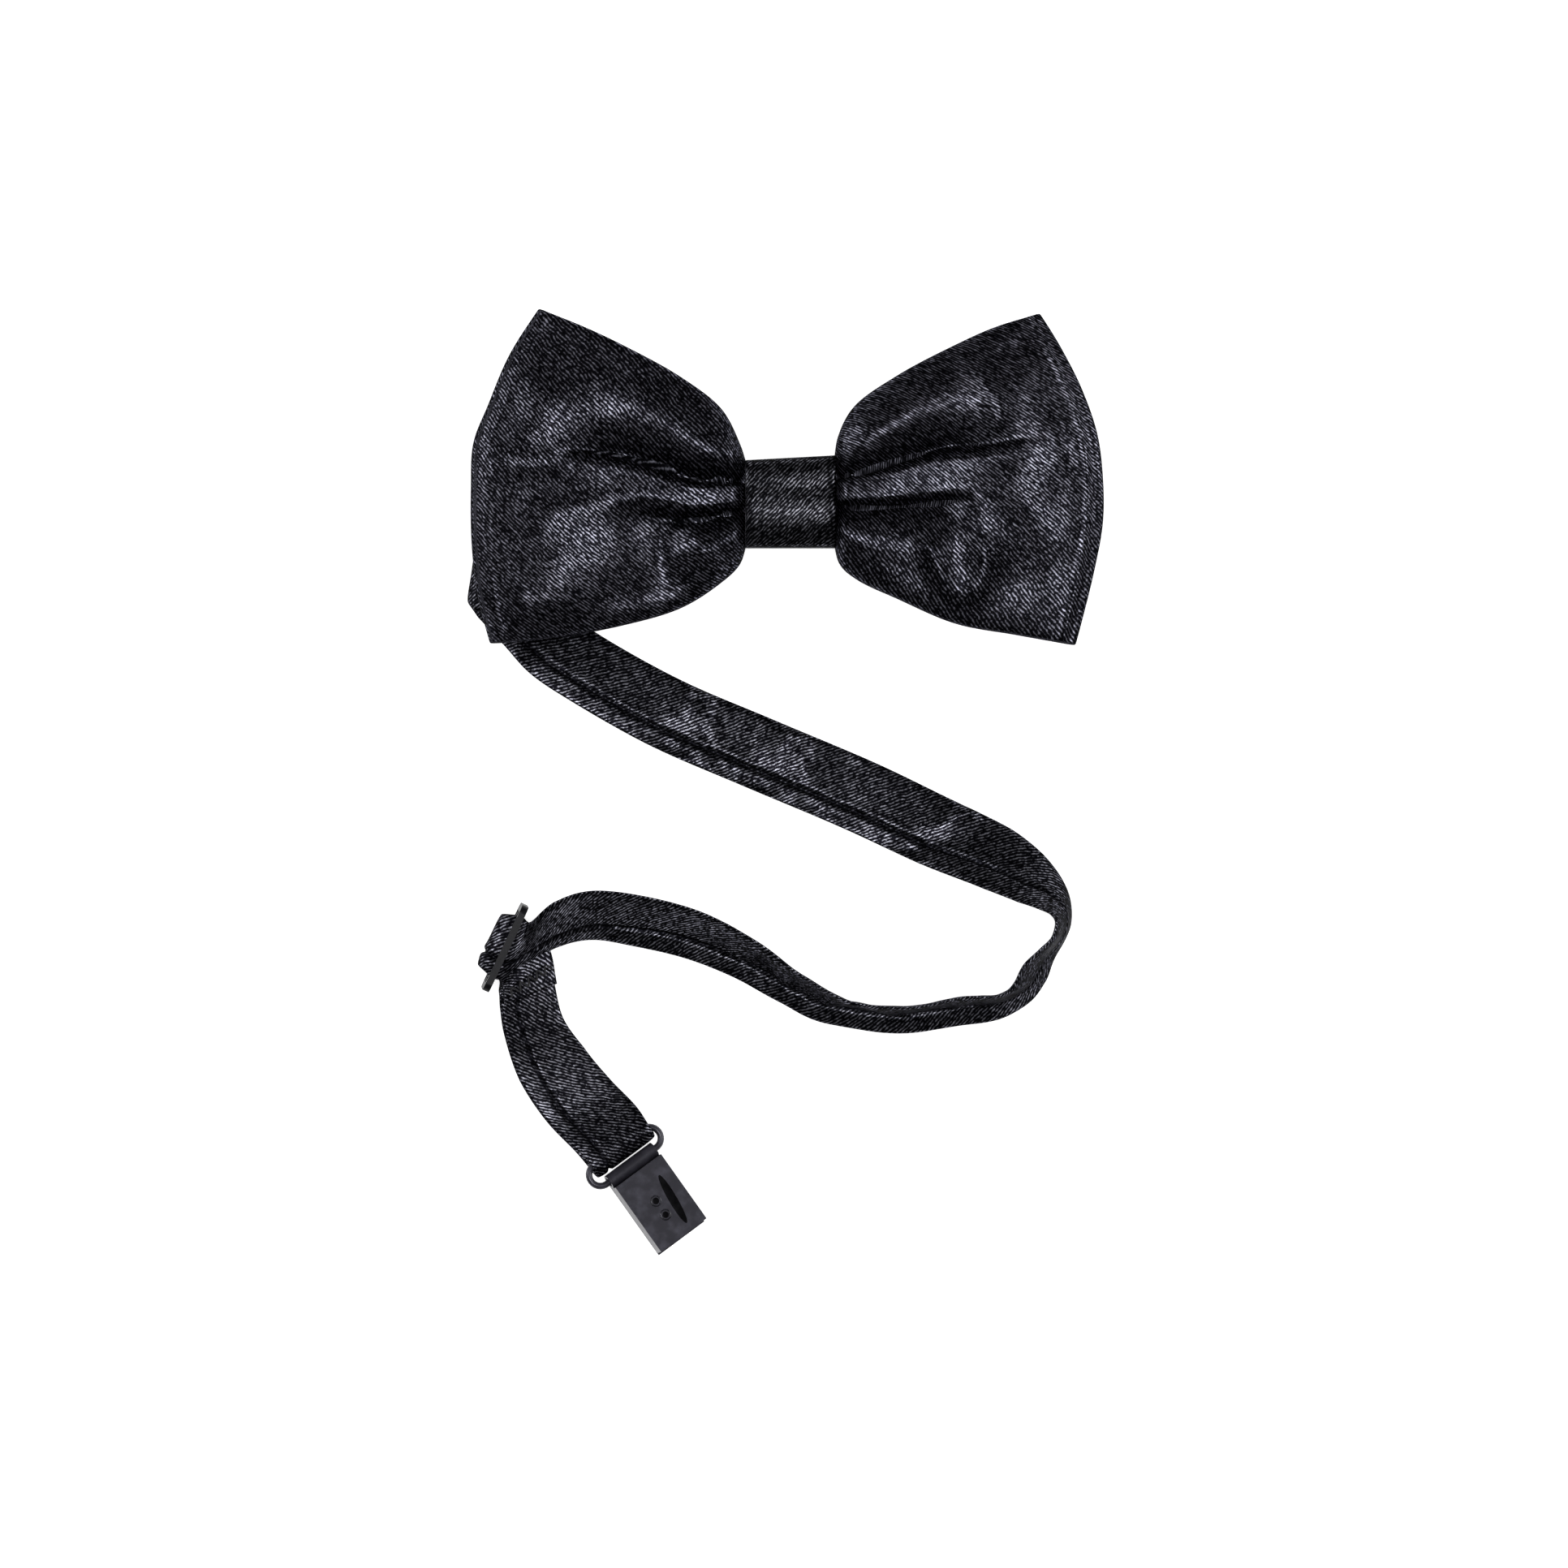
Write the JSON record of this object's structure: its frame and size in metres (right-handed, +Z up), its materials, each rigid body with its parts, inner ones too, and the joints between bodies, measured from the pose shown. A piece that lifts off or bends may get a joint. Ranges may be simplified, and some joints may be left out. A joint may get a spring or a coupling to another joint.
{
  "type": "ready-tied bow tie",
  "caption": "Ready-tied satin bow tie with a band knot, on an adjustable flat neck strap with a slider and a box clasp, laid out flat.",
  "frame": {"origin": "middle of the laid-out tie's footprint, on the surface it lies on", "axes": "+Y from the clasp end of the strap up to the bow, +X from the bow's left wing to its right wing, +Z up out of the bow's front"},
  "size_m": [0.1212, 0.1795, 0.0157],
  "materials": {
    "satin": "black satin, soft sheen",
    "knot_satin": "black satin, soft sheen",
    "strap_satin": "black satin, soft sheen",
    "interlining": "matt grey non-woven",
    "thread": "black polyester thread",
    "lacquered_metal": "glossy black lacquer",
    "spring_metal": "glossy dark grey lacquer"
  },
  "bodies": {
    "bow_and_strap": {"bow_loop": "satin", "bow_interlining": "interlining", "gather_thread": "thread", "knot_band": "knot_satin", "knot_seam_thread": "thread", "neck_strap": "strap_satin", "short_end_tack": "thread", "slider_end_tack": "thread"},
    "slider": {"slider": "lacquered_metal"},
    "clasp_ring": {"clasp_ring": "lacquered_metal"},
    "clasp_box": {"clasp_box": "lacquered_metal"},
    "tongue_ring": {"tongue_ring": "lacquered_metal"},
    "tongue": {"tongue_plate": "lacquered_metal"},
    "tongue_leaf": {"tongue_leaf": "spring_metal"}
  },
  "joints": [
    {"name": "slider_rock", "type": "hinge", "parent": "bow_and_strap", "child": "slider", "pos_m": [-0.053, -0.031, 0.00534], "axis": [-0.4274, -0.9041, 0], "range_deg": [-8, 8]},
    {"name": "clasp_ring_swing", "type": "hinge", "parent": "bow_and_strap", "child": "clasp_ring", "pos_m": [-0.0315, -0.0691, 0.00348], "axis": [0.7796, 0.5623, -0.2756], "range_deg": [-60, 60]},
    {"name": "clasp_box_swing", "type": "hinge", "parent": "clasp_ring", "child": "clasp_box", "pos_m": [-0.02899, -0.07259, 0.00348], "axis": [0.7796, 0.5623, -0.2756], "range_deg": [-80, 80]},
    {"name": "tongue_ring_swing", "type": "hinge", "parent": "bow_and_strap", "child": "tongue_ring", "pos_m": [0.028, 0.054, 0.00195], "axis": [0, 1, 0], "range_deg": [-4, 60]},
    {"name": "tongue_swing", "type": "hinge", "parent": "tongue_ring", "child": "tongue", "pos_m": [0.0323, 0.054, 0.00195], "axis": [0, 1, 0], "range_deg": [-4, 80]},
    {"name": "leaf_press", "type": "hinge", "parent": "tongue", "child": "tongue_leaf", "pos_m": [0.0471, 0.054, 0.0011], "axis": [0, -1, 0], "range_deg": [0, 6], "stiffness_Nm_per_rad": 0.02}
  ]
}
